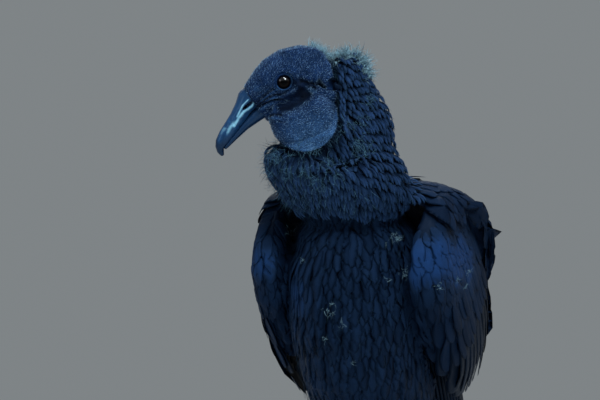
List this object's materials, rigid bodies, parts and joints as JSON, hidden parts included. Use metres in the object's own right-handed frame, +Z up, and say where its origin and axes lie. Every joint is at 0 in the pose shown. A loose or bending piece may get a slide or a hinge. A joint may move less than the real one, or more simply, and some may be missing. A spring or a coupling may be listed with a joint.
{
  "type": "bird figure",
  "caption": "Young black vulture, life size, standing on both feet with drooped wings and a thick feathered ruff, its grey head turned to its right and the hooked bill lowered",
  "frame": {"origin": "on the floor under the middle of the bird's outline", "axes": "+Z up, the bird's body faces -Y and its left side is +X"},
  "size_m": [0.1882, 0.3126, 0.5519],
  "materials": {
    "plumage": "black body feathers with a faint blue sheen",
    "flight_feathers": "smooth black flight feathers",
    "head_skin": "wrinkled slate-grey skin with pale stubble",
    "horn": "slate horn, glossier along the ridge",
    "eye": "wet, very dark brown",
    "leg_skin": "dry grey scales",
    "claw": "dark horn"
  },
  "bodies": {
    "root": {"head": "head_skin", "bill_upper": "horn", "bill_lower": "horn", "eye_left": "eye", "eye_right": "eye", "neck_upper": "plumage", "neck_lower": "plumage", "trunk": "plumage", "tail": "flight_feathers", "scapulars_left": "plumage", "scapulars_right": "plumage", "wing_arm_left": "plumage", "wing_arm_right": "plumage", "wing_secondaries_left": "flight_feathers", "wing_secondaries_right": "flight_feathers", "wing_primaries_left": "flight_feathers", "wing_primaries_right": "flight_feathers", "thigh_left": "plumage", "thigh_right": "plumage", "shank_left": "leg_skin", "shank_right": "leg_skin", "foot_left": "leg_skin", "foot_right": "leg_skin", "claw_hind_left": "claw", "claw_inner_left": "claw", "claw_middle_left": "claw", "claw_outer_left": "claw", "claw_hind_right": "claw", "claw_inner_right": "claw", "claw_middle_right": "claw", "claw_outer_right": "claw"}
  },
  "joints": []
}
